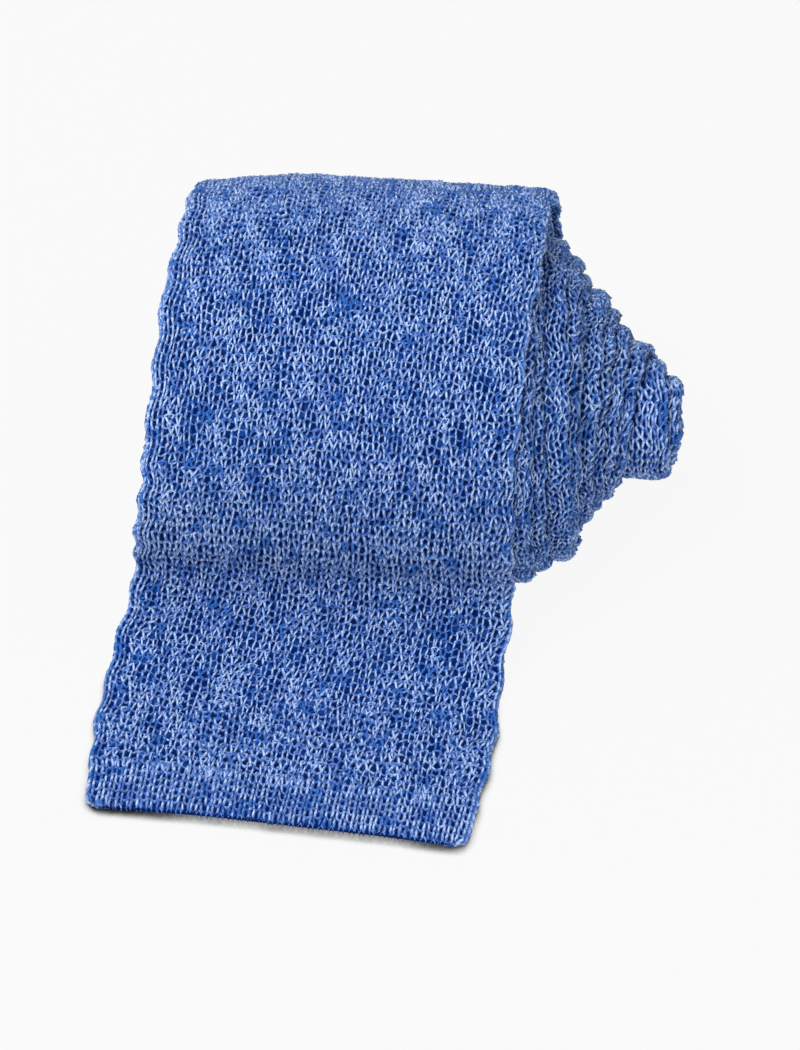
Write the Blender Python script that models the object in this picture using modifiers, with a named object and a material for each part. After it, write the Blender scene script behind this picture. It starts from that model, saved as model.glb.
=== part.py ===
"""A knit tie rolled up from its narrow end. The wide end comes over the roll and lies flat in front of it.

Metres. +X runs along the roll to its stepped end, -Y the way the flap points, +Z up. The origin is on the
surface it lies on, under the middle of its box.
"""

from collections import namedtuple
from math import cos, pi, radians, sin, sqrt

import bmesh
import bpy
import numpy as np

# The knitted strip, as made
TIE_LENGTH = 1.45
BLADE_WIDTH = 0.0605
FABRIC = 0.0016
HEM_BAND = 0.006
HEM_THICKNESS = 0.0019
STITCH_GAP = 0.0003
SCALLOP_LENGTH = 0.0083
SCALLOP_DEPTH = 0.00035

# The roll
TURN_GAP = 0.0007
CORE_RADIUS = 0.004
TELESCOPE = 0.0228
FIRST_RIGHT_EDGE = 0.0283
END_SLANT = 0.001
CORE_SAG = 0.0031
CORE_LEAN = 0.0023
FLATTENING = 0.0004
CURL_WIDTH = 0.009
CURL_DEPTH = 0.0028

# The flap
FLAP_LENGTH = 0.0515
FLAP_TURN = radians(3.5)
LEAVE_ANGLE = radians(-20)
DRAPE_REACH = 0.013

# Widths along the tie: place as a share of its length, width as a share of BLADE_WIDTH
WidthRow = namedtuple("WidthRow", "place width")
WIDTHS = (
    WidthRow(0.000, 1.00),
    WidthRow(0.016, 1.035),
    WidthRow(0.030, 0.995),
    WidthRow(0.045, 0.965),
    WidthRow(0.080, 0.945),
    WidthRow(0.160, 0.945),
    WidthRow(0.350, 0.820),
    WidthRow(0.500, 0.720),
    WidthRow(0.620, 0.700),
    WidthRow(1.000, 0.760),
)

# How far the right edge has stepped out: turns wound in as a share of all turns, step as a share
# of TELESCOPE
StepRow = namedtuple("StepRow", "turns step")
STEPS = (
    StepRow(0.000, -0.095),
    StepRow(0.012, -0.085),
    StepRow(0.028, 0.005),
    StepRow(0.080, 0.030),
    StepRow(0.160, 0.120),
    StepRow(0.240, 0.180),
    StepRow(0.320, 0.260),
    StepRow(0.400, 0.310),
    StepRow(0.480, 0.420),
    StepRow(0.560, 0.480),
    StepRow(0.645, 0.550),
    StepRow(0.725, 0.675),
    StepRow(0.765, 0.790),
    StepRow(0.810, 0.870),
    StepRow(0.890, 0.965),
    StepRow(1.000, 1.000),
)

# The yarn, as an even colour
STRIP_BLUE = (0.09, 0.17, 0.42)
HEM_BLUE = (0.06, 0.13, 0.36)
YARN_ROUGHNESS = 0.9

# Columns of the cloth, as shares of its width from the left edge, closer together where that edge curls
COLUMNS = (0.0, 0.07, 0.16, 1.0)

# The roll, worked out from the cloth that it takes up
PITCH = FABRIC + TURN_GAP
ROLL_RADIUS = sqrt(CORE_RADIUS**2 + PITCH * (TIE_LENGTH - FLAP_LENGTH) / pi)
ALL_TURNS = (ROLL_RADIUS - CORE_RADIUS) / PITCH
TURNS_TO_FLOOR = (radians(270) - LEAVE_ANGLE) / (2 * pi)
ROLL_HEIGHT = (
    ROLL_RADIUS
    - PITCH * TURNS_TO_FLOOR
    + FABRIC / 2
    - FLATTENING
    + CORE_SAG * TURNS_TO_FLOOR / ALL_TURNS
)

# The drape from the roll down to the floor: one Bezier curve in the plane across the roll
LEAVE_POINT = np.array((-ROLL_RADIUS * cos(LEAVE_ANGLE), ROLL_HEIGHT + ROLL_RADIUS * sin(LEAVE_ANGLE)))
TOUCH_POINT = np.array((LEAVE_POINT[0] - DRAPE_REACH, FABRIC / 2))
DRAPE_PULL = 0.5 * (LEAVE_POINT[1] - TOUCH_POINT[1])
DRAPE_GUIDES = (
    LEAVE_POINT,
    LEAVE_POINT + DRAPE_PULL * np.array((-sin(LEAVE_ANGLE), -cos(LEAVE_ANGLE))),
    TOUCH_POINT + np.array((0.75 * DRAPE_REACH, 0.0)),
    TOUCH_POINT,
)
DRAPE_SAMPLES = 200
SHOWN_TURNS = 1.2


def smooth_step(share):
    """0 to 1 with level ends."""
    share = min(max(share, 0.0), 1.0)
    return share * share * (3 - 2 * share)


def read_table(rows, place):
    """The second column at a place in the first, on a smooth curve through the rows."""
    places, values = np.array(rows).T
    slopes = np.gradient(values, places)
    i = min(max(int(np.searchsorted(places, place)) - 1, 0), len(places) - 2)
    span = places[i + 1] - places[i]
    u = (place - places[i]) / span
    rise = 3 * u**2 - 2 * u**3
    ease_out = (u**3 - 2 * u**2 + u) * span * slopes[i]
    ease_in = (u**3 - u**2) * span * slopes[i + 1]
    return (1 - rise) * values[i] + rise * values[i + 1] + ease_out + ease_in


def sampled_drape():
    """The drape as points (y, z), with each one's distance from where the cloth leaves the roll."""
    u = np.linspace(0.0, 1.0, DRAPE_SAMPLES)[:, None]
    a, b, c, d = DRAPE_GUIDES
    points = (1 - u) ** 3 * a + 3 * (1 - u) ** 2 * u * b + 3 * (1 - u) * u**2 * c + u**3 * d
    steps = np.linalg.norm(np.diff(points, axis=0), axis=1)
    return points, np.concatenate(((0.0,), np.cumsum(steps)))


DRAPE, DRAPE_DISTANCE = sampled_drape()
FLAT_LENGTH = FLAP_LENGTH - DRAPE_DISTANCE[-1]

# The free left edge over the top of the roll
TOP_PLACE = (FLAP_LENGTH + (radians(90) - LEAVE_ANGLE) * ROLL_RADIUS) / TIE_LENGTH
FREE_LEFT_EDGE = FIRST_RIGHT_EDGE - BLADE_WIDTH * read_table(WIDTHS, TOP_PLACE)


def turns_wound(along):
    """Turns from where the cloth leaves the roll, for a distance along the tie from the wide end."""
    radius = sqrt(max(ROLL_RADIUS**2 - PITCH * (along - FLAP_LENGTH) / pi, 0.0))
    return (ROLL_RADIUS - radius) / PITCH


def across_roll(along, thickness):
    """Where the middle of the cloth lies in the plane across the roll: (y, z)."""
    if along < FLAT_LENGTH:
        return TOUCH_POINT[0] - (FLAT_LENGTH - along), thickness / 2
    if along < FLAP_LENGTH:
        distance = FLAP_LENGTH - along
        return tuple(np.interp(distance, DRAPE_DISTANCE, column) for column in DRAPE.T)
    turns = turns_wound(along)
    radius = ROLL_RADIUS - PITCH * turns
    angle = LEAVE_ANGLE + 2 * pi * turns
    wound = turns / ALL_TURNS
    return -radius * cos(angle) - CORE_LEAN * wound, ROLL_HEIGHT + radius * sin(angle) - CORE_SAG * wound


def edges(along):
    """The left and right edge of the cloth, as x."""
    width = BLADE_WIDTH * read_table(WIDTHS, along / TIE_LENGTH)
    if along < FLAP_LENGTH:
        blade_there = BLADE_WIDTH * read_table(WIDTHS, FLAP_LENGTH / TIE_LENGTH)
        middle = FIRST_RIGHT_EDGE + TELESCOPE * STEPS[0].step - blade_there / 2
        right = middle + width / 2
    else:
        turns = turns_wound(along)
        wound = turns / ALL_TURNS
        slant = -END_SLANT * sin(LEAVE_ANGLE + 2 * pi * turns) * smooth_step(turns - 0.5) * (1 - wound)
        right = FIRST_RIGHT_EDGE + TELESCOPE * read_table(STEPS, wound) + slant
    if along < HEM_BAND or along > TIE_LENGTH - HEM_BAND:
        return right - width, right
    wave = 2 * pi * along / SCALLOP_LENGTH
    left_wave = SCALLOP_DEPTH * cos(wave - pi / 4)
    right_wave = SCALLOP_DEPTH * cos(wave + pi / 4)
    return right - width - left_wave, right + right_wave


def settle(x, y, z, along, thickness):
    """The height of a point once the roll gives: its free left edge curls in, its foot lies flat."""
    upper = smooth_step((z - ROLL_HEIGHT) / (ROLL_RADIUS / 2))
    beyond = max(FREE_LEFT_EDGE + CURL_WIDTH - x, 0.0) / CURL_WIDTH
    z -= CURL_DEPTH * upper * beyond**2
    if along > FLAP_LENGTH:
        foot = ROLL_HEIGHT + FLATTENING
        chord = max(foot**2 - y**2, 0.0)
        z += max(sqrt(chord) - ROLL_HEIGHT, 0.0) * max(1 - z / ROLL_HEIGHT, 0.0)
    return max(z, thickness / 2)


def turn_flap(x, y, along):
    """The flap lies a little askew to the roll, turned about the roll's own upright axis."""
    down = smooth_step((FLAP_LENGTH - along) / DRAPE_DISTANCE[-1])
    angle = -FLAP_TURN * down
    return x * cos(angle) - y * sin(angle), x * sin(angle) + y * cos(angle)


def ring_places(start, end):
    """Places along the tie, close where the blade shows and in the tight core, wider between."""
    places = [start]
    while places[-1] < end:
        radius = ROLL_RADIUS - PITCH * turns_wound(max(places[-1], FLAP_LENGTH))
        rings_a_scallop = 2
        if places[-1] < FLAP_LENGTH + SHOWN_TURNS * 2 * pi * ROLL_RADIUS or radius < 4 * CORE_RADIUS:
            rings_a_scallop = 4
        if radius < 2 * CORE_RADIUS:
            rings_a_scallop = 8
        places.append(places[-1] + SCALLOP_LENGTH / rings_a_scallop)
    places[-1] = end
    return places


def add_cloth(name, start, end, thickness, colour, collection):
    """One stretch of the strip, as a grid laid along it and thickened."""
    places = ring_places(start, end)
    grid = bmesh.new()
    bmesh.ops.create_grid(grid, x_segments=len(places) - 1, y_segments=len(COLUMNS) - 1, size=1.0)
    for vert in grid.verts:
        along = places[round((vert.co.x + 1) / 2 * (len(places) - 1))]
        column = COLUMNS[round((vert.co.y + 1) / 2 * (len(COLUMNS) - 1))]
        left, right = edges(along)
        x = left + column * (right - left)
        y, z = across_roll(along, thickness)
        z = settle(x, y, z, along, thickness)
        vert.co = (*turn_flap(x, y, along), z)
    mesh = bpy.data.meshes.new(name)
    grid.to_mesh(mesh)
    grid.free()
    mesh.shade_smooth()
    cloth = bpy.data.objects.new(name, mesh)
    collection.objects.link(cloth)
    solidify = cloth.modifiers.new("thickness", "SOLIDIFY")
    solidify.thickness = thickness
    solidify.offset = 0.0
    mesh.materials.append(knit_material(name, colour))
    return cloth


def knit_material(name, colour):
    """Marled yarn as one even colour."""
    material = bpy.data.materials.new(name)
    material.use_nodes = True
    shader = material.node_tree.nodes["Principled BSDF"]
    shader.inputs["Base Color"].default_value = (*colour, 1.0)
    shader.inputs["Roughness"].default_value = YARN_ROUGHNESS
    shader.inputs["Metallic"].default_value = 0.0
    return material


def centre_on_floor(cloths):
    """Moves everything so that the origin is under the middle of the whole box."""
    bpy.context.view_layer.update()
    graph = bpy.context.evaluated_depsgraph_get()
    corners = []
    for cloth in cloths:
        mesh = cloth.evaluated_get(graph).to_mesh()
        corners.extend(tuple(vert.co) for vert in mesh.vertices)
    corners = np.array(corners)
    low, high = corners.min(axis=0), corners.max(axis=0)
    for cloth in cloths:
        for vert in cloth.data.vertices:
            vert.co.x -= (low[0] + high[0]) / 2
            vert.co.y -= (low[1] + high[1]) / 2


def main():
    for old in list(bpy.data.objects):
        bpy.data.objects.remove(old)
    tie = bpy.data.collections.new("knit_tie")
    bpy.context.scene.collection.children.link(tie)
    half_gap = STITCH_GAP / 2
    tail_start = TIE_LENGTH - HEM_BAND
    centre_on_floor(
        (
            add_cloth("blade_hem", 0.0, HEM_BAND - half_gap, HEM_THICKNESS, HEM_BLUE, tie),
            add_cloth("knit_strip", HEM_BAND + half_gap, tail_start - half_gap, FABRIC, STRIP_BLUE, tie),
            add_cloth("tail_hem", tail_start + half_gap, TIE_LENGTH, FABRIC, HEM_BLUE, tie),
        )
    )


main()
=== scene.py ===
"""A knit tie rolled up from its narrow end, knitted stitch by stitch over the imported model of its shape."""

from collections import namedtuple
from math import cos, pi, radians, sin, sqrt

import bpy
import numpy as np
from bpy.props import FloatProperty, FloatVectorProperty, IntProperty, PointerProperty
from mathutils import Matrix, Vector


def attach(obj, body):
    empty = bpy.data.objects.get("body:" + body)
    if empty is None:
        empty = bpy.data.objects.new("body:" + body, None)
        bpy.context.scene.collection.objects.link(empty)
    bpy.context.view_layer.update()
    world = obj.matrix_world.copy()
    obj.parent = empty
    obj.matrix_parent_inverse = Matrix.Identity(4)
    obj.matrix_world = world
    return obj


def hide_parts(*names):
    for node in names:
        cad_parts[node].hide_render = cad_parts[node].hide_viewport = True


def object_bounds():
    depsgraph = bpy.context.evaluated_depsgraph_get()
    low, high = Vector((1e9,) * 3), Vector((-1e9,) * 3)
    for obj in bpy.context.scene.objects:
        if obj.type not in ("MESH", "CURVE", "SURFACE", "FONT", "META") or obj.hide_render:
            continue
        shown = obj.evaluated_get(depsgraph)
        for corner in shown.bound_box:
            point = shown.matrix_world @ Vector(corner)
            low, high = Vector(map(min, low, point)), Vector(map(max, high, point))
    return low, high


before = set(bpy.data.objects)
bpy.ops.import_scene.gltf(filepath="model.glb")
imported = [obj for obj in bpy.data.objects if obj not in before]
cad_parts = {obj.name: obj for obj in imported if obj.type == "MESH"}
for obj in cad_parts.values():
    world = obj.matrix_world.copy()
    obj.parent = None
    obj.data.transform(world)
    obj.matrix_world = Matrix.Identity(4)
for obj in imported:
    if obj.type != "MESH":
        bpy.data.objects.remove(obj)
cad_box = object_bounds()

bl_info = {
    "name": "Rolled knit tie",
    "version": (1, 0, 0),
    "blender": (4, 5, 0),
    "location": "3D View > Sidebar > Knit tie",
    "description": "Knits a marled tie that lies rolled up, with its wide end flat in front",
    "category": "Object",
}

# Widths along the tie: place as a share of its length, width as a share of the blade's
WidthRow = namedtuple("WidthRow", "place width")
WIDTHS = (
    WidthRow(0.000, 1.00),
    WidthRow(0.016, 1.035),
    WidthRow(0.030, 0.995),
    WidthRow(0.045, 0.965),
    WidthRow(0.080, 0.945),
    WidthRow(0.160, 0.945),
    WidthRow(0.350, 0.820),
    WidthRow(0.500, 0.720),
    WidthRow(0.620, 0.700),
    WidthRow(1.000, 0.760),
)

# How far the right edge has stepped out: turns wound in, step as a share of the telescope
StepRow = namedtuple("StepRow", "turns step")
STEPS = (
    StepRow(0.00, -0.095),
    StepRow(0.15, -0.085),
    StepRow(0.34, 0.005),
    StepRow(0.94, 0.035),
    StepRow(1.44, -0.020),
    StepRow(1.94, 0.150),
    StepRow(2.44, -0.020),
    StepRow(2.94, 0.310),
    StepRow(3.44, 0.130),
    StepRow(3.94, 0.330),
    StepRow(4.44, 0.240),
    StepRow(4.94, 0.340),
    StepRow(5.44, 0.295),
    StepRow(5.94, 0.410),
    StepRow(6.44, 0.440),
    StepRow(6.94, 0.470),
    StepRow(7.44, 0.515),
    StepRow(7.94, 0.550),
    StepRow(8.44, 0.610),
    StepRow(8.94, 0.600),
    StepRow(9.44, 0.765),
    StepRow(9.94, 0.940),
    StepRow(10.44, 0.860),
    StepRow(10.94, 0.975),
    StepRow(11.44, 0.985),
    StepRow(12.29, 1.000),
)

# How far the face's rows are drawn out: place along the strip in metres, share of a course
CourseRow = namedtuple("CourseRow", "along share")
COURSES = (
    CourseRow(0.000, 1.07),
    CourseRow(0.022, 1.06),
    CourseRow(0.032, 0.93),
    CourseRow(0.041, 0.96),
    CourseRow(0.047, 1.25),
    CourseRow(0.053, 1.75),
    CourseRow(0.058, 1.55),
    CourseRow(0.066, 1.18),
    CourseRow(0.076, 1.00),
    CourseRow(0.115, 0.98),
    CourseRow(0.300, 1.00),
)

# The edges' scallops: their shift from side to side, and a second wave against the first
SCALLOP_SHIFT = pi / 4
UNEVEN_RATE, UNEVEN_HEIGHT, UNEVEN_SHIFT = 0.37, 0.5, 2

# Angles round the roll, from level at the front
TOP_OF_ROLL, FOOT_OF_ROLL = radians(90), radians(270)

# How far above the roll's middle the free left edge gives fully, as a share of the radius
FREE_EDGE_RISE = 0.5
# How steeply it gives towards its tip
CURL_POWER = 1.5

# The turns over which the right margin starts to settle
MARGIN_TURNS = 0.25

# The drape's guides: how far it hangs straight and how far it runs out level, as shares
DRAPE_PULL, DRAPE_EASE = 0.42, 0.6
DRAPE_SAMPLES = 200
CENTRING_SAMPLES = 3000

# The lifted hem, as shares of its width: where it has risen, where it sinks again, and by how much
HEM_RISEN, HEM_SINKS, HEM_SUNK = 0.35, 0.75, 0.5

# How far round the roll the face goes, and the turns over which the edges thicken after that
FACE_TURNS = 1.08
SWELL_START, SWELL_END = 0.25, 0.75
# Over which shares of the turns the stitches grow towards the core
GROWTH_START, GROWTH_END = 0.5, 0.85

# How far the knitting on the drape's inner side goes on under the flap and under the roll
OVER_DRAPE = 0.010

# Turns of the core that are knitted on their inner side
CORE_TURNS = 1.25

# How far round an edge the face's rows go, as a share of the way to the back
ROUND_EDGE = 0.8

# Where along the strip the stitches' legs draw apart, over the front of the roll to its top
OPENING_START, OPENING_END = 0.085, 0.120

# The diagonal relief: one ridge in this many stitches and rows
RIDGE_WALES = 4
RIDGE_COURSES = 8

# A yarn's cross-section: three corners, the first one outward
YARN_SIDES = 3
YARN_START = radians(90)
FACE_POINTS = 8
MARGIN_POINTS = 6
ROWS_A_PIECE = 88

# Wales that a shift of their own is drawn for, and draws to spare for each kind of unevenness
WALE_NOISE = 400
SPARE_DRAWS = 4

# How strongly the unevenness acts: on a stitch's place, its lift, the yarn's thickness and the lean
ASIDE_BY, WALE_BY, RISE_BY, LIFT_BY, THICK_BY, LEAN_BY = 0.45, 0.6, 0.3, 0.6, 0.6, 1.2
FADING = 1.4

# The loops lie calmer at the edges: how many stitches in that starts, and what is left of the lean
CALM_START, CALM_LEAN = 0.2, 0.5

# Rows that are drawn out have thicker yarn and less painted shade: stretched knit shows more of its legs, and
# the lighter yarn also stands in as painted light in the crease at the drape's foot. The core's yarn is
# thicker too
DRAWN_YARN, DRAWN_LESS_SHADE, CORE_YARN = 0.28, 0.3, 0.6

# How much less painted shade the ridges get than the valleys, so they are paler
RIDGE_LESS_SHADE = 0.08

# What differs between the textured stitch and the hem's plain one; sunk is painted shade added to all its
# loops
Stitch = namedtuple("Stitch", "spread height yarn calm sunk ridge")
TEXTURED = Stitch(1.0, 1.0, 1.0, 1.0, 0.0, 1.0)
PLAIN = Stitch(0.65, 0.85, 1.2, 0.5, 0.15, 0.0)

# The inner turns' relief is pressed flatter
PRESSED = 0.8

# The ground's rings along the strip: round its tips, close together, and wider in the middle
TIP_RINGS = (0.9, 0.6, 0.3)
RING_CLEAR, RING_STEP, WIDE_RING_STEP = 0.0006, 0.001, 0.0025
WIDE_RINGS_START, WIDE_RINGS_END = 0.28, 1.25
# Its columns on each side, and round an edge as shares of the way to the back
GROUND_COLUMNS = 20
EDGE_COLUMNS = (0.25, 0.5, 0.75)
# What its points are marked with at the ends, against 1 where yarn covers them: both give the ground painted
# shade, and at the ends it is the full deep shade with no yarn filling it
TIP_SHADE_MARK, TIP_SHADE_MARK_ABOVE = 2.0, 1.5

# How much fuller the ground is at the strip's ends, and over what length
FULL_END, FULL_END_REACH = 0.00024, 0.0007

# Painted shade under the hem: where the yarn goes under the hem into the dark, over what length, and what
# that adds to sunk
UNDER_HEM, UNDER_HEM_REACH, UNDER_HEM_SHADE = 0.00010, 0.0005, 2

# Half the step over which the lie of the cloth is measured
REACH = 0.0004

# Noises along the yarn, as waves a metre and strength: of its twist, and of the light ply's share
TWIST_WANDER = (180.0, 14.0)
LONG_WANDER = (9.0, 0.6)
SHORT_WANDER = (850.0, 4.0)
LIGHT_LEVEL = -2.86
# Slubs: waves a metre, the noise at which one starts and is full, and how much bluer it is
SLUB_WAVES, SLUB_RAMP, SLUB_BLUER = 42.0, (0.64, 0.72), 1.8
# How softly the plies meet, and how the yarn darkens from its top down its sides: the light ply shows as a
# painted highlight along the top, with painted shade on the flanks
PLY_RAMP, SIDE_SHADE_RAMP = (-0.6, 0.8), (-0.35, 0.95)
# Painted shade in the groove between the plies: its width and how dark it is
GROOVE_RAMP, GROOVE_SHADE = (0.40, 0.0), 0.60
# Painted shade on yarn behind the loops, and on yarn under the hem: over which sunk it darkens, and how far
SUNK_SHADE_RAMP, SUNK_SHADE_DARK = (0.10, 0.82), 0.74
UNDER_HEM_SHADE_RAMP, UNDER_HEM_SHADE_DARK = (1.6, 2.4), 0.92
# Fibres: waves a metre, how much bluer they are, and their bump's strength and height
FIBRE_WAVES, FIBRE_BLUER, FIBRE_BUMP, FIBRE_HEIGHT = 2600.0, 0.35, 0.5, 0.0001
SHEEN_TINT = (0.75, 0.82, 1.0, 1.0)

# The ground: the lean of its loops, the gutters between wales, and its marl
LOOP_LEAN, GUTTER = -1.6, 0.5
MARL_WAVES, MARL_STRENGTH, MARL_RAMP, MARL_LIGHT = 900.0, 2.0, (0.8, 2.4), 0.6
# Painted shade between the ground's loops and in its gutters: the ramp into the deep shade
BETWEEN_SHADE_RAMP = (-0.2, -1.2)
# Pits that are partly filled with yarn, which shows in the painted shade of sunk yarn: waves a metre, at
# which noise, and how far
FILLED_WAVES, FILLED_RAMP, FILLED_SHARE = 640.0, (0.50, 0.66), 0.42
LOOP_BUMP, LOOP_HEIGHT = 0.6, 0.0002

# The sockets of the node that mixes colours
MIX_SHARE, MIX_FIRST, MIX_SECOND, MIX_RESULT = 0, 6, 7, 2

# The floor, which way its painted contact shadow looks for what shades it, and the ramp of that shade
FLOOR_SIZE = 12.0
SHADE_TILT_Y, SHADE_TILT_Z, SHADE_RAMP = 0.64, 0.77, (0.36, 0.86)
LAMP_SIZE, LAMP_PLACE, LAMP_AIM = 0.8, (-0.36, -0.48, 1.13), (0.0, 0.0, 0.02)
# What the camera turns round, and how far to the right of it and above it the picture's middle lies
CAMERA_PIVOT, AIM_RIGHT, AIM_UP = (0.0, 0.0, 0.03), 0.00111, -0.00808


def metres(name, description, default):
    """A property that holds a length."""
    return FloatProperty(name=name, description=description, default=default, unit="LENGTH")


class StripSizes(bpy.types.PropertyGroup):
    """The knitted strip, as made"""

    tie_length: metres("Length", "From end to end", 1.45)
    blade_width: metres("Blade width", "At the wide end", 0.0605)
    fabric: metres("Thickness", "Of the knitting", 0.0016)
    ground: metres("Ground", "Half the thickness under the yarn", 0.00034)
    hem_band: metres("Hem", "Length of the plain rows", 0.0078)
    corner: metres("Corner", "Radius of the hem's corners", 0.0022)
    scallop_length: metres("Scallop", "Of the edge", 0.0083)
    scallop_depth: metres("Scallop depth", "Of the edge", 0.00028)


class RollSizes(bpy.types.PropertyGroup):
    """The roll"""

    turn_gap: metres("Gap", "Between two turns", 0.0007)
    core_radius: metres("Core", "Radius of the last turn", 0.004)
    telescope: metres("Telescope", "How far the core stands out", 0.0228)
    first_right: metres("Right edge", "Of the first turn", 0.0283)
    core_sag: metres("Sag", "Of the core", 0.0031)
    core_lean: metres("Lean", "Of the core, to the front", 0.0023)
    flattening: metres("Foot", "How far it is flattened", 0.0004)
    margin: metres("Margin", "What settles and thickens at an edge", 0.003)
    margin_drop: metres("Margin drop", "How far it settles", 0.00065)
    edge_swell: metres("Edge swell", "Of the rolled edges, each side", 0.0003)
    curl_width: metres("Curl width", "Of the free left edge", 0.020)
    curl_depth: metres("Curl depth", "Of the free left edge", 0.0036)


class FlapSizes(bpy.types.PropertyGroup):
    """The wide end, from where it leaves the roll"""

    flap_length: metres("Length", "Off the roll", 0.0515)
    flap_turn: FloatProperty(
        name="Turn", description="Askew to the roll", default=radians(3.5), subtype="ANGLE"
    )
    leave_angle: FloatProperty(
        name="Leaves at", description="Above level", default=radians(-20), subtype="ANGLE"
    )
    drape_reach: metres("Reach", "Of the drape", 0.013)
    hem_lift: metres("Hem lift", "Of the hem off the floor", 0.0009)
    lift_reach: metres("Lift reach", "From the hem", 0.012)


class KnitSizes(bpy.types.PropertyGroup):
    """The stitches"""

    wales: IntProperty(name="Wales", description="Stitches across the face", default=37)
    margin_wale: metres("Margin stitch", "Width at the rolled edges", 0.00138)
    margin_under: metres("Tucked", "Knitting under the next turn", 0.0016)
    course: metres("Course", "Height of a row", 0.00156)
    margin_course: metres("Margin course", "Height of a row in the roll", 0.00140)
    core_growth: FloatProperty(name="Core growth", description="Of the rows towards the core", default=0.35)
    hem_course: metres("Hem course", "Height of a plain row", 0.00152)
    yarn: metres("Yarn", "Its radius", 0.000355)
    loop_height: FloatProperty(name="Loop height", description="Half, as a share of a row", default=0.76)
    loop_lean: FloatProperty(
        name="Loop lean", description="Spread of its legs, as a share of a wale", default=0.255
    )
    loop_neck: FloatProperty(
        name="Loop neck", description="How its legs close up, as a share of a wale", default=0.045
    )
    loop_depth: metres("Loop depth", "Of heads behind legs, half", 0.00013)
    foot_depth: metres("Foot depth", "Of feet behind heads", 0.00009)
    lift: metres("Lift", "Yarn above the middle of the cloth", 0.00052)
    relief: metres("Relief", "Height of the diagonal ridges, half", 0.00008)
    gather: FloatProperty(name="Gather", description="At the ridges, as a share of a wale", default=0.05)
    skew: FloatProperty(name="Skew", description="How far the wales lean", default=0.02)
    wale_sway: metres("Sway", "Over which a wale wanders", 0.018)
    unevenness: FloatProperty(name="Unevenness", description="Of hand-feel in the loops", default=0.25)
    seed: IntProperty(name="Seed", description="Of the uneven loops", default=7)


class YarnColours(bpy.types.PropertyGroup):
    """The two plies of the marled yarn, with the painted shade of the yarn behind and between the loops"""

    light: FloatVectorProperty(
        name="Light ply", description="Nearly white", default=(0.58, 0.74, 1.0), subtype="COLOR"
    )
    blue: FloatVectorProperty(
        name="Blue ply", description="Full blue", default=(0.042, 0.154, 0.51), subtype="COLOR"
    )
    # Sunk and deep are painted shade: a shaded copy of the blue ply for yarn behind the loops, and the
    # near-black shade between the loops
    sunk: FloatVectorProperty(
        name="Sunk", description="Yarn behind the loops", default=(0.020, 0.108, 0.45), subtype="COLOR"
    )
    deep_shade: FloatVectorProperty(
        name="Deep", description="Between the loops", default=(0.0006, 0.013, 0.098), subtype="COLOR"
    )
    twist: metres("Twist", "Length of one twist", 0.0017)


class StageSizes(bpy.types.PropertyGroup):
    """The floor, the light and the camera"""

    floor_shade: FloatProperty(name="Floor", description="How much light it gives back", default=0.03)
    floor_glow: FloatProperty(name="Floor glow", description="Of the pale sweep", default=0.915)
    contact: metres("Contact", "Reach of the shade under the tie", 0.0020)
    sky: FloatProperty(name="Sky", description="Even light from all round", default=0.64)
    lamp: FloatProperty(name="Soft box", description="In watts", default=14.0)
    azimuth: FloatProperty(
        name="Azimuth", description="Of the camera", default=radians(4.93), subtype="ANGLE"
    )
    elevation: FloatProperty(
        name="Elevation", description="Of the camera", default=radians(48.12), subtype="ANGLE"
    )
    distance: metres("Distance", "To the tie", 1.0)
    lens: FloatProperty(name="Lens", description="In millimetres", default=217.2)


class KnitTie(bpy.types.PropertyGroup):
    """Everything that can be set"""

    strip: PointerProperty(type=StripSizes)
    roll: PointerProperty(type=RollSizes)
    flap: PointerProperty(type=FlapSizes)
    knit: PointerProperty(type=KnitSizes)
    yarn: PointerProperty(type=YarnColours)
    stage: PointerProperty(type=StageSizes)


def smooth_step(share):
    """0 to 1 with level ends."""
    share = np.clip(share, 0.0, 1.0)
    return share * share * (3 - 2 * share)


def read_table(rows, places):
    """The second column at places in the first, on a smooth curve through the rows."""
    at, values = np.array(rows).T
    slopes = np.gradient(values, at)
    places = np.clip(places, at[0], at[-1])
    i = np.clip(np.searchsorted(at, places) - 1, 0, len(at) - 2)
    span = at[i + 1] - at[i]
    u = (places - at[i]) / span
    rise = 3 * u**2 - 2 * u**3
    ease_out = (u**3 - 2 * u**2 + u) * span * slopes[i]
    ease_in = (u**3 - u**2) * span * slopes[i + 1]
    return (1 - rise) * values[i] + rise * values[i + 1] + ease_out + ease_in


def unit(vectors):
    """The same directions, each one long."""
    return vectors / np.linalg.norm(vectors, axis=-1, keepdims=True)


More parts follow.
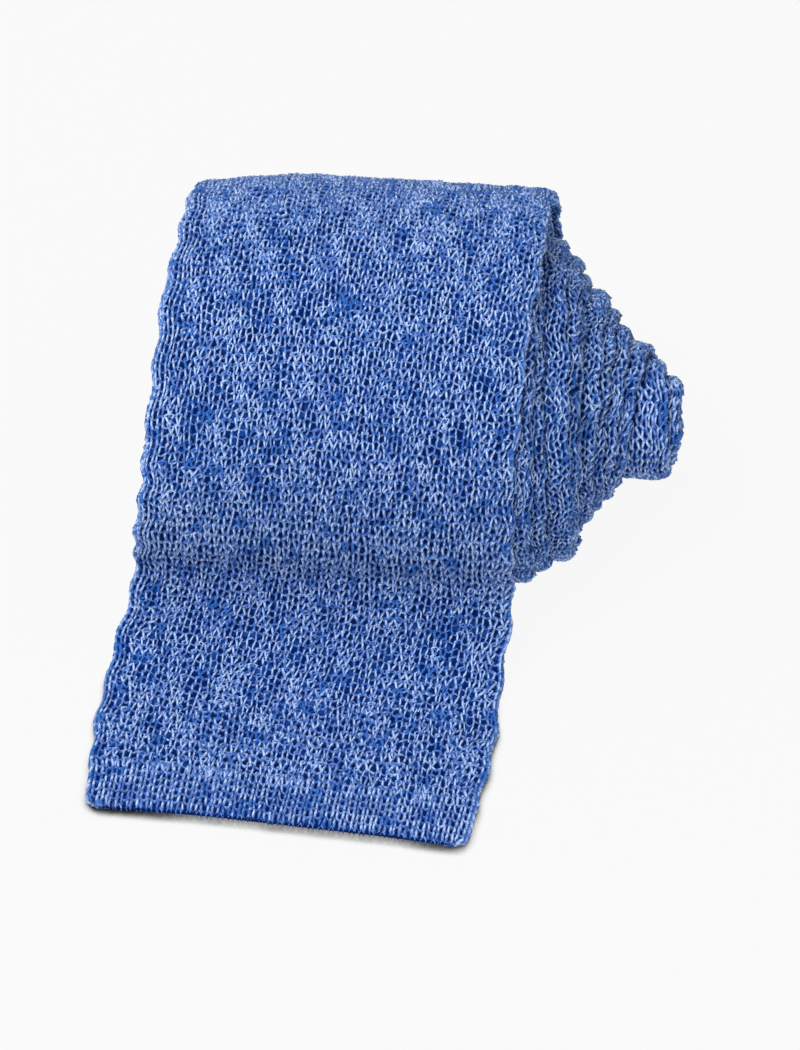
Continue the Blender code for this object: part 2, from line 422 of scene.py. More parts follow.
class Strip:
    """The tie as one sheet, and where each place on it lies once it is rolled up."""

    def __init__(self, tie):
        self.strip, self.roll, self.flap = tie.strip, tie.roll, tie.flap
        strip, roll, flap = self.strip, self.roll, self.flap
        self.pitch = strip.fabric + roll.turn_gap
        rolled = strip.tie_length - flap.flap_length
        self.radius = sqrt(roll.core_radius**2 + self.pitch * rolled / pi)
        self.all_turns = (self.radius - roll.core_radius) / self.pitch
        to_floor = (FOOT_OF_ROLL - flap.leave_angle) / (2 * pi)
        sag = roll.core_sag * to_floor / self.all_turns
        self.height = self.radius - self.pitch * to_floor + strip.fabric / 2 - roll.flattening + sag
        self.drape, self.drape_distance = self.sampled_drape()
        self.flat_length = flap.flap_length - self.drape_distance[-1]
        top_place = flap.flap_length + (TOP_OF_ROLL - flap.leave_angle) * self.radius
        top_width = strip.blade_width * read_table(WIDTHS, top_place / strip.tie_length)
        self.free_left = roll.first_right - top_width
        self.face_end = flap.flap_length + FACE_TURNS * 2 * pi * self.radius
        self.shift = np.zeros(3)
        self.shift = self.centring()

    def sampled_drape(self):
        """The drape from the roll to the floor, as points (y, z) and their distance from the roll."""
        leave, fabric = self.flap.leave_angle, self.strip.fabric
        away = np.array((-self.radius * cos(leave), self.height + self.radius * sin(leave)))
        touch = np.array((away[0] - self.flap.drape_reach, fabric / 2))
        pull = DRAPE_PULL * (away[1] - touch[1])
        a, d = away, touch
        b = away + pull * np.array((-sin(leave), -cos(leave)))
        c = touch + np.array((DRAPE_EASE * self.flap.drape_reach, 0.0))
        u = np.linspace(0.0, 1.0, DRAPE_SAMPLES)[:, None]
        points = (1 - u) ** 3 * a + 3 * (1 - u) ** 2 * u * b + 3 * (1 - u) * u**2 * c + u**3 * d
        steps = np.linalg.norm(np.diff(points, axis=0), axis=1)
        return points, np.concatenate(((0.0,), np.cumsum(steps)))

    def place_at(self, turns):
        """The distance along the strip at a number of turns wound in."""
        turns = np.clip(turns, 0.0, self.all_turns)
        return self.flap.flap_length + pi * turns * (2 * self.radius - self.pitch * turns)

    def shown(self, along):
        """How much of the right margin the turn outside leaves bare, and of the left one the turn inside."""
        turns = self.turns_wound(along)
        right = self.edges(along)[1] - self.edges(self.place_at(turns - 1))[1]
        left = self.edges(self.place_at(turns + 1))[0] - self.edges(along)[0]
        return np.maximum(right, 0.0), np.maximum(left, 0.0)

    def turns_wound(self, along):
        """Turns from where the cloth leaves the roll."""
        inside = self.radius**2 - self.pitch * (along - self.flap.flap_length) / pi
        return (self.radius - np.sqrt(np.clip(inside, 0.0, self.radius**2))) / self.pitch

    def grown(self, along):
        """How far the stitches have grown towards the core, from 0 to 1."""
        wound = self.turns_wound(along) / self.all_turns
        return smooth_step((wound - GROWTH_START) / (GROWTH_END - GROWTH_START))

    def across_roll(self, along):
        """Where the middle of the cloth lies in the plane across the roll: y and z."""
        touch_y = self.drape[-1, 0]
        hanging = self.flap.flap_length - along
        turns = self.turns_wound(along)
        radius = self.radius - self.pitch * turns
        angle = self.flap.leave_angle + 2 * pi * turns
        wound = turns / self.all_turns
        flat, draped = along < self.flat_length, along < self.flap.flap_length
        y = np.where(
            draped,
            np.interp(hanging, self.drape_distance, self.drape[:, 0]),
            -radius * np.cos(angle) - self.roll.core_lean * wound,
        )
        z = np.where(
            draped,
            np.interp(hanging, self.drape_distance, self.drape[:, 1]),
            self.height + radius * np.sin(angle) - self.roll.core_sag * wound,
        )
        return np.where(flat, touch_y - (self.flat_length - along), y), z

    def edges(self, along):
        """The left and right edge of the cloth without its scallops, as x."""
        strip, roll = self.strip, self.roll
        width = strip.blade_width * read_table(WIDTHS, along / strip.tie_length)
        blade_there = strip.blade_width * read_table(WIDTHS, self.flap.flap_length / strip.tie_length)
        middle = roll.first_right + roll.telescope * STEPS[0].step - blade_there / 2
        stepped = roll.first_right + roll.telescope * read_table(STEPS, self.turns_wound(along))
        right = np.where(along < self.flap.flap_length, middle + width / 2, stepped)
        return right - width, right

    def scallop(self, along, side):
        """How far an edge stands out, on the side that is -1 or 1."""
        strip = self.strip
        hem = (along < strip.hem_band) | (along > strip.tie_length - strip.hem_band)
        wave = 2 * pi * along / strip.scallop_length
        uneven = UNEVEN_HEIGHT * np.sin(UNEVEN_RATE * wave + UNEVEN_SHIFT * side)
        return np.where(hem, 0.0, strip.scallop_depth * (np.cos(wave + side * SCALLOP_SHIFT) + uneven))

    def hem_rise(self, along, x):
        """How far the hem has lifted off the floor: least at its left corner."""
        left, right = self.edges(along)
        near = smooth_step(1 - along / self.flap.lift_reach)
        across = (x - left) / (right - left)
        sunk = HEM_SUNK * smooth_step((across - HEM_SINKS) / (1 - HEM_SINKS))
        return self.flap.hem_lift * near * smooth_step(across / HEM_RISEN) * (1 - sunk)

    def surface(self, along, x):
        """The middle of the cloth at a distance along it and an x across it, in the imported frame."""
        roll, half = self.roll, self.strip.fabric / 2
        y, z = self.across_roll(along)
        upper = smooth_step((z - self.height) / (self.radius * FREE_EDGE_RISE))
        beyond = np.maximum(self.free_left + roll.curl_width - x, 0.0) / roll.curl_width
        z = z - roll.curl_depth * upper * beyond**CURL_POWER
        started = smooth_step(self.turns_wound(along) / MARGIN_TURNS)
        margin = smooth_step((x - self.edges(along)[1]) / roll.margin + 1) * started
        inward = roll.margin_drop * margin / np.hypot(y, z - self.height).clip(self.roll.core_radius)
        y, z = y * (1 - inward), z - (z - self.height) * inward
        chord = np.maximum((self.height + roll.flattening) ** 2 - y**2, 0.0)
        foot = np.maximum(np.sqrt(chord) - self.height, 0.0) * np.maximum(1 - z / self.height, 0.0)
        z = np.maximum(z + np.where(along > self.flap.flap_length, foot, 0.0), half)
        z = z + self.hem_rise(along, x)
        down = smooth_step((self.flap.flap_length - along) / self.drape_distance[-1])
        angle = -self.flap.flap_turn * down
        turned = (x * np.cos(angle) - y * np.sin(angle), x * np.sin(angle) + y * np.cos(angle), z)
        return np.stack(turned, axis=-1) + self.shift

    def directions(self, along, x):
        """Outward from the cloth, across it to the right, and along it towards the core."""
        ahead = self.surface(along + REACH, x) - self.surface(along - REACH, x)
        aside = self.surface(along, x + REACH) - self.surface(along, x - REACH)
        return unit(np.cross(aside, ahead)), unit(aside), unit(ahead)

    def centring(self):
        """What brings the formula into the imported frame, whose origin is under the middle of the part."""
        along = np.linspace(0.0, self.strip.tie_length, CENTRING_SAMPLES)
        low, high = np.full(3, np.inf), np.full(3, -np.inf)
        for side, edge in zip((-1, 1), self.edges(along)):
            edge = edge + side * self.scallop(along, side)
            middle, out = self.surface(along, edge), self.directions(along, edge)[0]
            for face_side in (-0.5, 0.5):
                face = middle + face_side * self.strip.fabric * out
                low, high = np.minimum(low, face.min(axis=0)), np.maximum(high, face.max(axis=0))
        packed = (np.array(cad_box[0]) + np.array(cad_box[1])) / 2
        shift = packed - (low + high) / 2
        return np.array((shift[0], shift[1], 0.0))

    def round_it(self, along, run, lift, half):
        """Points and outward directions on the flattened tube of knitting. run is the distance round it
        from the middle of its face, half is half the thickness that it is measured on. Past an end of
        the strip, along goes round the end."""
        strip, roll = self.strip, self.roll
        from_end = np.minimum(along, strip.tie_length - along)
        tip = np.clip((half - from_end) / half, 0.0, pi)
        endward = np.where(along < strip.tie_length / 2, -1.0, 1.0)
        past = np.maximum(half * (1 - pi) - from_end, 0.0)
        along = np.clip(along, half, strip.tie_length - half) - endward * past
        left, right = self.edges(along)
        short = np.clip(1 - from_end / strip.corner, 0.0, 1.0)
        inset = strip.corner * (1 - np.sqrt(1 - short**2))
        level = (right - left) / 2 - half - inset
        side, over = np.sign(run), np.abs(run) - level
        angle = np.clip(over / half, 0.0, pi)
        behind = np.clip(over - pi * half, 0.0, 2 * level)
        rolled = smooth_step((self.turns_wound(along) - SWELL_START) / (SWELL_END - SWELL_START))
        near = smooth_step(over / roll.margin + 1) * (1 - smooth_step(behind / roll.margin))
        swell = roll.edge_swell * rolled * near
        thick = half + swell
        across = np.minimum(np.abs(run), level) - swell + thick * np.sin(angle) * np.cos(tip) - behind
        reach = strip.scallop_length
        edge = smooth_step(over / reach + 1) * (1 - smooth_step(behind / reach))
        x = (left + right) / 2 + side * (across + edge * self.scallop(along, side))
        out, aside, ahead = self.directions(along, x)
        to_out, to_end = np.cos(tip) * np.cos(angle), endward * np.sin(tip)
        to_side = np.cos(tip) * side * np.sin(angle)
        outward = to_out[:, None] * out + to_side[:, None] * aside + to_end[:, None] * ahead
        flat_part = (thick * to_out)[:, None] * out + (half * to_end)[:, None] * ahead
        return self.surface(along, x) + flat_part + lift[:, None] * outward, outward


def add_piece(name, verts, faces, material, attributes):
    """A mesh object with its material and named values at its points."""
    mesh = bpy.data.meshes.new(name)
    mesh.from_pydata(verts, (), faces)
    mesh.shade_smooth()
    for label, kind, values in attributes:
        slot = mesh.attributes.new(label, kind, "POINT")
        field = "vector" if kind == "FLOAT_VECTOR" else "value"
        slot.data.foreach_set(field, np.ravel(values).astype(np.float32))
    mesh.materials.append(material)
    piece = bpy.data.objects.new(name, mesh)
    bpy.context.scene.collection.objects.link(piece)
    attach(piece, "root")
    return piece


def sweep(points, outward, radius, tube):
    """Closed yarns along the points. tube numbers the yarn that each point belongs to."""
    first = np.concatenate(((True,), tube[1:] != tube[:-1]))
    last = np.concatenate((tube[1:] != tube[:-1], (True,)))
    here = np.arange(len(points))
    ahead, behind = np.where(last, here, here + 1), np.where(first, here, here - 1)
    tangent = unit(points[ahead] - points[behind])
    aside = unit(np.cross(tangent, outward))
    up = np.cross(aside, tangent)
    angles = YARN_START + 2 * pi * np.arange(YARN_SIDES) / YARN_SIDES
    rings = [points + radius[:, None] * (np.cos(angle) * aside + np.sin(angle) * up) for angle in angles]
    verts = np.stack(rings, axis=1).reshape(-1, 3)
    start = here[~last] * YARN_SIDES
    ahead_ring = start + YARN_SIDES
    faces = []
    for k in range(YARN_SIDES):
        after = (k + 1) % YARN_SIDES
        faces.append(np.stack((start + k, ahead_ring + k, ahead_ring + after, start + after), axis=1))
    faces = np.concatenate(faces).tolist()
    corners = np.arange(YARN_SIDES)
    faces += (here[first][:, None] * YARN_SIDES + corners).tolist()
    faces += (here[last][:, None] * YARN_SIDES + corners[::-1]).tolist()
    round_yarn = np.tile(np.stack((np.cos(angles), np.sin(angles)), axis=1), (len(points), 1))
    return verts, faces, round_yarn


Rows = namedtuple("Rows", "along number")


def rows_between(start, end, pitch):
    """Rows of knitting along the strip. pitch gives the height of the row at a place."""
    along = [start]
    while along[-1] < end:
        along.append(along[-1] + pitch(along[-1]))
    return Rows(np.array(along), np.arange(len(along)))


# Which part of the strip's round a row covers: where its stitches are counted from, its start and
# its end, as runs from the middle of the face
Span = namedtuple("Span", "anchor start end")


def whole_face(level, half, shown):
    """The face and most of each edge."""
    return Span(0.0 * level, -level - half * pi * ROUND_EDGE, level + half * pi * ROUND_EDGE)


def right_margin(level, half, shown):
    """What shows of a turn at the stepped end."""
    return Span(level, level - shown[0], level + half * pi * ROUND_EDGE)


def left_margin(level, half, shown):
    """What shows of a turn in the hollow end: its edge and the side towards the core."""
    return Span(-level, -level - half * pi - shown[1], -level)


def inner_side(level, half, shown):
    """All of the side towards the core."""
    return Span(level, level + half * pi / 2, 3 * level + half * pi * 1.5)


def knit(name, tie, rows, span, material, stitch=TEXTURED, flatten=1.0, points=FACE_POINTS):
    """Rows of loops, each one yarn, over a part of the strip's round."""
    sizes, strip = tie.knit, Strip(tie)
    rng = np.random.default_rng(sizes.seed + len(name))
    half = sizes.lift
    on_face = span is whole_face
    left, right = strip.edges(np.clip(rows.along, 0.0, tie.strip.tie_length))
    levels = (right - left) / 2 - half
    growth = sizes.core_growth * strip.grown(rows.along)
    wales = 2 * levels / sizes.wales if on_face else np.full(len(levels), sizes.margin_wale)
    shown = [width + sizes.margin_under for width in strip.shown(rows.along)]
    anchors, starts, ends = span(levels, half, shown)
    drifts = sizes.skew * rows.along / wales
    lows = np.floor(((starts - anchors) / wales - drifts) * points).astype(int)
    highs = np.ceil(((ends - anchors) / wales - drifts) * points).astype(int)
    count = np.concatenate([np.arange(low, high + 1) / points for low, high in zip(lows, highs)])
    tube = np.repeat(np.arange(len(lows)), highs - lows + 1)
    anchor = anchors[tube]
    along, number, wale, growth = rows.along[tube], rows.number[tube], wales[tube], growth[tube]
    course = np.gradient(rows.along)[tube]
    drawn = course / sizes.course - 1 if on_face and stitch is TEXTURED else 0.0 * course
    drift = sizes.skew * along / wale

    uneven = sizes.unevenness * rng.standard_normal((4, len(count) // points + SPARE_DRAWS))
    faded = FADING * sizes.unevenness * rng.standard_normal(2 * len(count) // points + SPARE_DRAWS)
    columns = sizes.unevenness * rng.standard_normal((2, WALE_NOISE))
    wale_shifts = [np.interp(count + WALE_NOISE / 2, np.arange(WALE_NOISE), row) for row in columns]
    sway = 2 * pi * along / sizes.wale_sway
    wale_by = np.cos(sway) * wale_shifts[0] + np.sin(sway) * wale_shifts[1]
    place = np.arange(len(count)) / points
    inside = (levels[tube] - np.abs(anchor + wale * count)) / wale
    calm = stitch.calm * (smooth_step(inside + CALM_START) if on_face else 1.0)
    aside_by, lift_by, rise_by, thick_by = (np.interp(place, np.arange(len(row)), row) for row in uneven)

    phase = 2 * pi * (count / RIDGE_WALES + number / RIDGE_COURSES)
    ridge = stitch.ridge * np.cos(phase)
    gather = -sizes.gather * stitch.ridge * np.sin(phase)
    turn = 2 * pi * count
    opened = smooth_step((along - OPENING_START) / (OPENING_END - OPENING_START)) * on_face
    lean = stitch.spread * sizes.loop_lean * np.sin(2 * turn)
    lean = lean * (CALM_LEAN + (1 - CALM_LEAN) * calm) * (1 + LEAN_BY * thick_by)
    lean = lean + (1 - 2 * opened) * sizes.loop_neck * np.sin(turn)
    shifted = (ASIDE_BY * aside_by + WALE_BY * wale_by) * calm
    run = anchor + wale * (count + drift + lean + gather + shifted)
    rise = -stitch.height * sizes.loop_height * course * np.cos(turn)
    depth = -sizes.loop_depth * np.cos(2 * turn) - sizes.foot_depth * (1 + np.cos(turn)) / 2
    lift = (depth + sizes.relief * ridge) * flatten + LIFT_BY * lift_by * calm * sizes.yarn
    there = along + rise + course * RISE_BY * rise_by
    centres, outward = strip.round_it(there, run, lift, half)
    radius = sizes.yarn * (1 + THICK_BY * thick_by) * (1 + CORE_YARN * growth)
    radius = radius * (1 + DRAWN_YARN * drawn) * stitch.yarn
    # The floor presses the yarn flat
    centres[:, 2] = np.maximum(centres[:, 2], radius)
    verts, faces, round_yarn = sweep(centres, outward, radius, tube)

    length = np.cumsum(np.linalg.norm(np.diff(centres, axis=0, prepend=centres[:1]), axis=1))
    twist = np.column_stack((np.repeat(length, YARN_SIDES), round_yarn))
    # sunk carries painted shade: the heads and feet behind the legs darken, the ridges and drawn-out rows
    # less, with a random fade from leg to leg, and the yarn under the hem darkens more
    sunk = (np.cos(2 * turn) + 1) / 2 - RIDGE_LESS_SHADE * ridge - DRAWN_LESS_SHADE * drawn + stitch.sunk
    sunk = sunk + np.interp(2 * place, np.arange(len(faded)), faded)
    sunk = sunk + UNDER_HEM_SHADE * smooth_step((UNDER_HEM - there) / UNDER_HEM_REACH)
    attributes = (
        ("twist", "FLOAT_VECTOR", twist),
        ("sunk", "FLOAT", np.repeat(sunk, YARN_SIDES)),
    )
    piece = add_piece(name, verts, faces, material, attributes)


def new_material(name):
    """An empty node material with its shader."""
    material = bpy.data.materials.new(name)
    material.use_nodes = True
    return material, material.node_tree.nodes["Principled BSDF"]


class Nodes:
    """Adds nodes to a material, each from what feeds it."""

    def __init__(self, material):
        self.tree = material.node_tree

    def feed(self, socket, value):
        """Links a socket to what feeds it, or gives it a constant."""
        if isinstance(value, bpy.types.NodeSocket):
            self.tree.links.new(value, socket)
        else:
            socket.default_value = value

    def add(self, kind, settings=None, **inputs):
        """A node. An input is named with _ for each space, or as _ and its number."""
        node = self.tree.nodes.new(kind)
        for key, value in (settings or {}).items():
            setattr(node, key, value)
        for key, value in inputs.items():
            numbered = key[0] == "_" and key[1:].isdigit()
            self.feed(node.inputs[int(key[1:]) if numbered else key.replace("_", " ")], value)
        return node

    def math(self, operation, *values):
        inputs = {f"_{i}": value for i, value in enumerate(values)}
        return self.add("ShaderNodeMath", {"operation": operation}, **inputs).outputs[0]

    def noise(self, scale, detail=2.0, along=None, vector=None):
        """Noise along a length, or in space."""
        kind, size = "ShaderNodeTexNoise", {"Scale": scale, "Detail": detail}
        if along is not None:
            return self.add(kind, {"noise_dimensions": "1D"}, W=along, **size).outputs[0]
        return self.add(kind, {}, Vector=vector, **size).outputs[0]

    def wander(self, along, waves, strength, detail=1.0):
        """Noise along a length, times its strength."""
        return self.math("MULTIPLY", self.noise(waves, detail, along=along), strength)

    def ramp(self, value, low, high):
        """0 to 1 between two values, with level ends."""
        smooth = {"interpolation_type": "SMOOTHSTEP"}
        return self.add("ShaderNodeMapRange", smooth, Value=value, From_Min=low, From_Max=high).outputs[0]

    def attribute(self, name, output):
        return self.add("ShaderNodeAttribute", {"attribute_name": name}).outputs[output]

    def mix(self, share, first, second):
        """From the first colour to the second one."""
        node = self.tree.nodes.new("ShaderNodeMix")
        node.data_type = "RGBA"
        for number, value in ((MIX_SHARE, share), (MIX_FIRST, first), (MIX_SECOND, second)):
            self.feed(node.inputs[number], value)
        return node.outputs[MIX_RESULT]


def finish_cloth(nodes, shader, colour, height, strength, distance, **values):
    """Gives a shader its colour, its bump and its constants."""
    nodes.tree.links.new(colour, shader.inputs["Base Color"])
    bump = nodes.add("ShaderNodeBump", {}, Height=height, Strength=strength, Distance=distance).outputs[0]
    nodes.tree.links.new(bump, shader.inputs["Normal"])
    for key, value in values.items():
        shader.inputs[key.replace("_", " ")].default_value = value


def marled_yarn(tie, name, light_share=0.0):
    """Two plies twisted together, a light and a blue one, with slubs where the blue one swells, a painted
    highlight along the yarn's top, and painted shade behind the loops, in the groove between the plies and
    under the hem.
    """
    colours = tie.yarn
    material, shader = new_material(name)
    nodes = Nodes(material)
    light, blue, shaded_blue, deep_shade = (
        (*colour, 1.0) for colour in (colours.light, colours.blue, colours.sunk, colours.deep_shade)
    )
    twist = nodes.attribute("twist", "Vector")
    length, side, up = nodes.add("ShaderNodeSeparateXYZ", {}, Vector=twist).outputs
    wander = nodes.wander(length, *TWIST_WANDER, detail=2.0)
    angle = nodes.math("ADD", nodes.math("MULTIPLY", length, 2 * pi / colours.twist), wander)
    ply = nodes.math(
        "ADD",
        nodes.math("MULTIPLY", nodes.math("SINE", angle), side),
        nodes.math("MULTIPLY", nodes.math("COSINE", angle), up),
    )
    slub = nodes.ramp(nodes.noise(SLUB_WAVES, 1.0, along=length), *SLUB_RAMP)
    wanders = nodes.math("ADD", nodes.wander(length, *LONG_WANDER), nodes.wander(length, *SHORT_WANDER))
    wanders = nodes.math("ADD", wanders, LIGHT_LEVEL - light_share)
    threshold = nodes.math("ADD", nodes.math("MULTIPLY", slub, SLUB_BLUER), wanders)
    showing = nodes.ramp(nodes.math("SUBTRACT", ply, threshold), *PLY_RAMP)
    # The light ply shows only towards the yarn's top: a painted highlight, with painted shade on the flanks
    marl = nodes.mix(nodes.math("MULTIPLY", showing, nodes.ramp(up, *SIDE_SHADE_RAMP)), blue, light)
    fibre = nodes.noise(FIBRE_WAVES, 2.0, vector=nodes.add("ShaderNodeTexCoord").outputs["Object"])
    flecked = nodes.mix(nodes.math("MULTIPLY", fibre, FIBRE_BLUER), marl, blue)
    # Painted shade: yarn behind the loops goes towards a shaded blue
    depth = nodes.attribute("sunk", "Fac")
    sunk = nodes.math("MULTIPLY", nodes.ramp(depth, *SUNK_SHADE_RAMP), SUNK_SHADE_DARK)
    shaded = nodes.mix(sunk, flecked, shaded_blue)
    # Painted shade in the groove between the plies and under the hem, towards the deep shade
    groove_shade = nodes.math("MULTIPLY", nodes.ramp(nodes.math("ABSOLUTE", ply), *GROOVE_RAMP), GROOVE_SHADE)
    under = nodes.math("MULTIPLY", nodes.ramp(depth, *UNDER_HEM_SHADE_RAMP), UNDER_HEM_SHADE_DARK)
    grooved = nodes.mix(nodes.math("MAXIMUM", groove_shade, under), shaded, deep_shade)
    finish_cloth(
        nodes, shader, grooved, fibre, FIBRE_BUMP, FIBRE_HEIGHT,
        Roughness=0.9, Specular_IOR_Level=0.12,
        Sheen_Weight=0.03, Sheen_Roughness=0.5, Sheen_Tint=SHEEN_TINT,
    )
    return material


def ground_cloth(tie):
    """The cloth under the yarn: painted shade where yarn lies on it and between the loops, and knitted in its
    colour and bump where no yarn lies on it.
    """
    colours = tie.yarn
    material, shader = new_material("ground_cloth")
    nodes = Nodes(material)
    deep_shade, blue, light, shaded_blue = (
        (*colour, 1.0) for colour in (colours.deep_shade, colours.blue, colours.light, colours.sunk)
    )
    knit_place = nodes.attribute("knit", "Vector")
    across, along, covered = nodes.add("ShaderNodeSeparateXYZ", {}, Vector=knit_place).outputs
    fold = nodes.math("ABSOLUTE", nodes.math("SUBTRACT", nodes.math("FRACT", across), 0.5))
    leaning = nodes.math("ADD", along, nodes.math("MULTIPLY", fold, LOOP_LEAN))
    wave = nodes.math("SINE", nodes.math("MULTIPLY", leaning, 2 * pi))
    gutter = nodes.math("COSINE", nodes.math("MULTIPLY", across, 4 * pi))
    loops = nodes.math("SUBTRACT", wave, nodes.math("MULTIPLY", gutter, GUTTER))
    where = nodes.add("ShaderNodeTexCoord").outputs["Object"]
    speckle = nodes.math("MULTIPLY", nodes.noise(MARL_WAVES, 3.0, vector=where), MARL_STRENGTH)
    marl = nodes.ramp(nodes.math("ADD", loops, speckle), *MARL_RAMP)
    strands = nodes.mix(nodes.math("MULTIPLY", marl, MARL_LIGHT), blue, light)
    # Painted shade between the loops and in the gutters
    knitted = nodes.mix(nodes.ramp(loops, *BETWEEN_SHADE_RAMP), strands, deep_shade)
    # Painted shade in the pits under the yarn: the deep shade, partly filled with the shaded blue of sunk
    # yarn, but not at the tips
    filled = nodes.ramp(nodes.noise(FILLED_WAVES, 1.0, vector=where), *FILLED_RAMP)
    filled = nodes.math("MULTIPLY", filled, FILLED_SHARE)
    filled = nodes.math("MULTIPLY", filled, nodes.math("LESS_THAN", covered, TIP_SHADE_MARK_ABOVE))
    pits = nodes.mix(filled, deep_shade, shaded_blue)
    matt = {"Roughness": 0.95, "Specular_IOR_Level": 0.05}
    finish_cloth(nodes, shader, nodes.mix(covered, knitted, pits), loops, LOOP_BUMP, LOOP_HEIGHT, **matt)
    return material


def yarn_material(tie, name, **changes):
    """The material of that name, made once."""
    return bpy.data.materials.get(name) or marled_yarn(tie, name, **changes)


class TIE_OT_cloth(bpy.types.Operator):
    """Lays the ground of the cloth, from the wide end to the core of the roll"""

    bl_idname = "tie.cloth"
    bl_label = "Cloth"

    def execute(self, context):
        tie = context.scene.knit_tie
        strip = Strip(tie)
        half, length = tie.strip.ground, tie.strip.tie_length
        tip = half * (1 - pi / 2 * np.array(TIP_RINGS))
        body = (
            np.arange(RING_CLEAR, WIDE_RINGS_START, RING_STEP),
            np.arange(WIDE_RINGS_START, WIDE_RINGS_END, WIDE_RING_STEP),
            np.arange(WIDE_RINGS_END, length - RING_CLEAR, RING_STEP),
        )
        along = np.concatenate((tip, *body, (length - tip)[::-1]))
        left, right = strip.edges(np.clip(along, 0.0, length))
        level = (right - left) / 2 - half
        front = np.linspace(-1.0, 1.0, GROUND_COLUMNS)
        bend = np.array(EDGE_COLUMNS) * pi * half
        back = np.linspace(0.0, 2.0, GROUND_COLUMNS)[:-1]
        run = np.concatenate(
            (
                level[:, None] * front,
                level[:, None] + bend,
                level[:, None] + half * pi + level[:, None] * back,
                -(level[:, None] + np.append(bend, half * pi)[::-1]),
            ),
            axis=1,
        )
        ring = run.shape[1]
        place = np.repeat(along, ring)
        filled = FULL_END * smooth_step(1 - np.minimum(place, length - place) / FULL_END_REACH)
        verts, _ = strip.round_it(place, run.ravel(), filled, half)
        ring_start = (np.arange(len(along) - 1) * ring)[:, None]
        start, after = ring_start + np.arange(ring), ring_start + (np.arange(ring) + 1) % ring
        faces = np.stack((start, after, after + ring, start + ring), axis=-1).reshape(-1, 4).tolist()
        faces.append(list(range(ring))[::-1])
        faces.append(list(range((len(along) - 1) * ring, len(along) * ring)))
        over = np.abs(run) - level[:, None]
        on_face = (place.reshape(run.shape) < strip.face_end) & (over < half * pi / 2)
        tucked = tie.knit.margin_under / 2
        shown_right, shown_left = (width[:, None] + tucked for width in strip.shown(along))
        # Where yarn covers the ground it takes the painted shade of the pits, and at the tips the full deep
        # shade
        covered = on_face | ((run > 0) & (over > -shown_right) & (over < half * pi * ROUND_EDGE))
        covered = covered | ((run < 0) & (over > 0) & (over < half * pi + shown_left))
        at_tips = (np.minimum(along, length - along) < half / 2)[:, None]
        covered = np.where(at_tips, TIP_SHADE_MARK, covered)
        wale, course = tie.knit.margin_wale, tie.knit.course
        knitted = np.column_stack((run.ravel() / wale, place / course, covered.ravel()))
        marked = (("knit", "FLOAT_VECTOR", knitted),)
        piece = add_piece("tie_cloth", verts, faces, ground_cloth(tie), marked)
        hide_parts("knit_strip", "blade_hem", "tail_hem")
        return {"FINISHED"}


class TIE_OT_face(bpy.types.Operator):
    """Knits the face of the flap and of the first turn"""

    bl_idname = "tie.face"
    bl_label = "Face"

    def execute(self, context):
        tie = context.scene.knit_tie
        strip = Strip(tie)
        material = yarn_material(tie, "marled_yarn")
        course = tie.knit.course

        def drawn_out(along):
            return course * read_table(COURSES, along)

        all_rows = rows_between(tie.strip.hem_band + course / 2, strip.face_end, drawn_out)
        for k, first in enumerate(range(0, len(all_rows.along), ROWS_A_PIECE)):
            rows = Rows(*(column[first : first + ROWS_A_PIECE] for column in all_rows))
            knit(f"face_stitches_{k + 1}", tie, rows, whole_face, material)
        return {"FINISHED"}


class TIE_OT_hem(bpy.types.Operator):
    """Knits the tight plain rows of the wide end"""

    bl_idname = "tie.hem"
    bl_label = "Hem"

    def execute(self, context):
        tie = context.scene.knit_tie
        material = yarn_material(tie, "hem_yarn", light_share=0.1)
        pitch = tie.knit.hem_course
        rows = rows_between(-0.5 * pitch, tie.strip.hem_band - pitch / 2, lambda along: pitch)
        knit("hem_stitches", tie, rows, whole_face, material, stitch=PLAIN)
        return {"FINISHED"}


class TIE_OT_rolled_edges(bpy.types.Operator):
    """Knits the margins of the turns inside, at the stepped end, the hollow end and the core"""

    bl_idname = "tie.rolled_edges"
    bl_label = "Rolled edges"

    def execute(self, context):
        tie = context.scene.knit_tie
        strip = Strip(tie)
        material = yarn_material(tie, "marled_yarn")
        length = tie.strip.tie_length

        def growing(along):
            return tie.knit.margin_course * (1 + tie.knit.core_growth * strip.grown(along))

        def even(along):
            return tie.knit.margin_course

        leaves = strip.flap.flap_length
        last_turn = 2 * pi * tie.roll.core_radius * CORE_TURNS
        for name, start, end, pitch, span in (
            ("stepped_stitches", strip.face_end, length, growing, right_margin),
            ("hollow_stitches", leaves, length, growing, left_margin),
            ("drape_stitches", strip.flat_length - OVER_DRAPE, leaves + OVER_DRAPE, even, inner_side),
            ("core_stitches", length - last_turn, length, growing, inner_side),
        ):
            rows = rows_between(start, end, pitch)
            knit(name, tie, rows, span, material, flatten=PRESSED, points=MARGIN_POINTS)
        return {"FINISHED"}


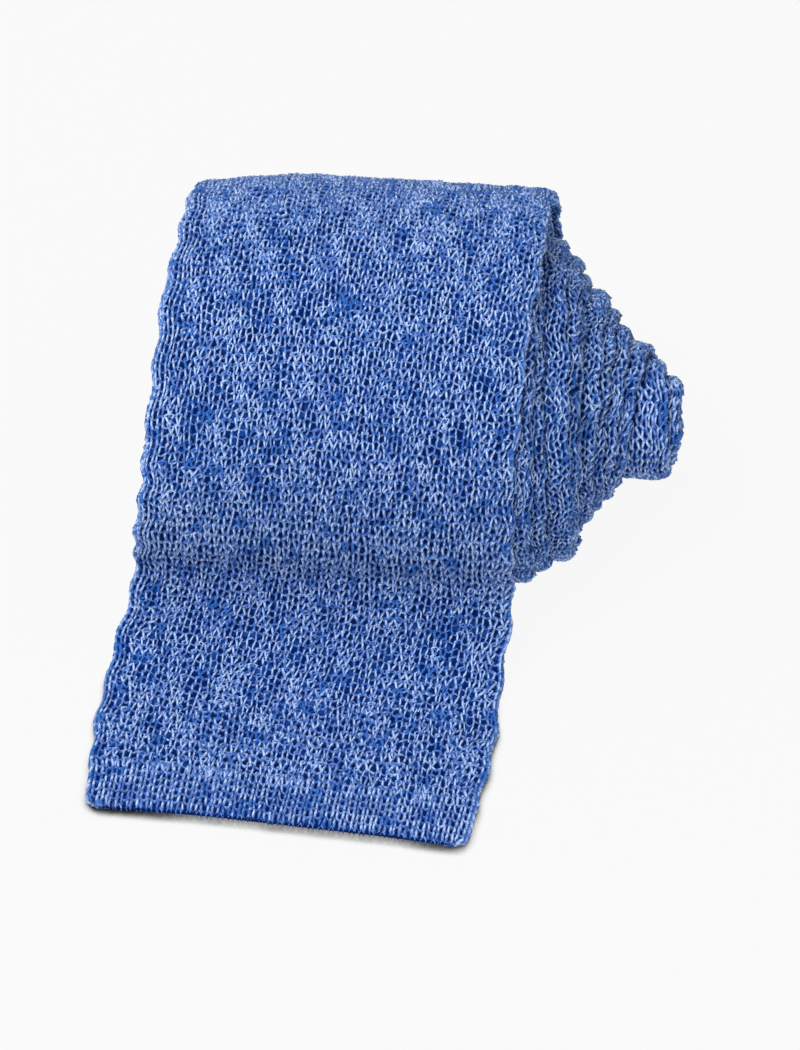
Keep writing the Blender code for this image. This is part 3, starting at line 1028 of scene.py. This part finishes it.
class TIE_OT_stage(bpy.types.Operator):
    """Sets the floor, the light and the camera"""

    bl_idname = "tie.stage"
    bl_label = "Stage"

    def execute(self, context):
        stage = context.scene.knit_tie.stage
        scene = context.scene
        bpy.ops.mesh.primitive_plane_add(size=FLOOR_SIZE)
        floor = context.object
        floor.name = "floor"
        floor.data.materials.append(self.pale_floor(stage))
        world = bpy.data.worlds.new("studio")
        scene.world = world
        world.use_nodes = True
        background = world.node_tree.nodes["Background"]
        background.inputs["Color"].default_value = (1.0, 1.0, 1.0, 1.0)
        background.inputs["Strength"].default_value = stage.sky
        lamp = bpy.data.lights.new("soft_box", "AREA")
        lamp.shape, lamp.size, lamp.energy = "DISK", LAMP_SIZE, stage.lamp
        soft_box = bpy.data.objects.new("soft_box", lamp)
        soft_box.location = LAMP_PLACE
        towards_tie = Vector(LAMP_AIM) - soft_box.location
        soft_box.rotation_euler = towards_tie.to_track_quat("-Z", "Y").to_euler()
        scene.collection.objects.link(soft_box)
        self.add_camera(scene, stage)
        scene.view_settings.view_transform = "Standard"
        return {"FINISHED"}

    def pale_floor(self, stage):
        """Nearly shadowless, with a painted contact shadow: ambient occlusion dims its glow close to what
        touches it.
        """
        material, shader = new_material("pale_floor")
        nodes = Nodes(material)
        shader.inputs["Base Color"].default_value = (stage.floor_shade,) * 3 + (1.0,)
        shader.inputs["Roughness"].default_value = 0.9
        shader.inputs["Specular IOR Level"].default_value = 0.0
        # Painted contact shadow: occlusion looking back towards the tie darkens the glow in front of and
        # under it
        tilt = nodes.add("ShaderNodeCombineXYZ", {}, Y=SHADE_TILT_Y, Z=SHADE_TILT_Z).outputs[0]
        near = {"Distance": stage.contact, "Normal": tilt}
        hidden = nodes.add("ShaderNodeAmbientOcclusion", {"samples": 8}, **near).outputs["AO"]
        glow = nodes.math("MULTIPLY", nodes.ramp(hidden, *SHADE_RAMP), stage.floor_glow)
        shader.inputs["Emission Color"].default_value = (1.0, 1.0, 1.0, 1.0)
        nodes.tree.links.new(glow, shader.inputs["Emission Strength"])
        return material

    def add_camera(self, scene, stage):
        """Looks down on the roll from in front, with the tie a little above the middle of the picture."""
        target = Vector(CAMERA_PIVOT)
        azimuth, elevation = stage.azimuth, stage.elevation
        back = Vector((sin(azimuth) * cos(elevation), -cos(azimuth) * cos(elevation), sin(elevation)))
        right = Vector((cos(azimuth), sin(azimuth), 0.0))
        up = back.cross(right)
        aim = target + AIM_RIGHT * right + AIM_UP * up
        camera = bpy.data.objects.new("camera", bpy.data.cameras.new("camera"))
        camera.data.lens = stage.lens
        camera.data.sensor_width = 36.0
        camera.data.clip_start, camera.data.clip_end = 0.05, 50.0
        camera.location = target + stage.distance * back
        camera.rotation_mode = "QUATERNION"
        camera.rotation_quaternion = (camera.location - aim).to_track_quat("Z", "Y")
        scene.collection.objects.link(camera)
        scene.camera = camera


class TIE_PT_panel(bpy.types.Panel):
    """Lists the pieces of the tie"""

    bl_label = "Knit tie"
    bl_space_type = "VIEW_3D"
    bl_region_type = "UI"
    bl_category = "Knit tie"

    def draw(self, context):
        for operator in OPERATORS:
            self.layout.operator(operator.bl_idname)


GROUPS = (StripSizes, RollSizes, FlapSizes, KnitSizes, YarnColours, StageSizes, KnitTie)
OPERATORS = (TIE_OT_cloth, TIE_OT_face, TIE_OT_hem, TIE_OT_rolled_edges, TIE_OT_stage)


def register():
    for group in (*GROUPS, *OPERATORS, TIE_PT_panel):
        bpy.utils.register_class(group)
    bpy.types.Scene.knit_tie = PointerProperty(type=KnitTie)


def unregister():
    del bpy.types.Scene.knit_tie
    for group in reversed((*GROUPS, *OPERATORS, TIE_PT_panel)):
        bpy.utils.unregister_class(group)


def main():
    register()
    bpy.ops.tie.cloth()
    bpy.ops.tie.face()
    bpy.ops.tie.hem()
    bpy.ops.tie.rolled_edges()
    bpy.ops.tie.stage()


if __name__ == "__main__":
    main()
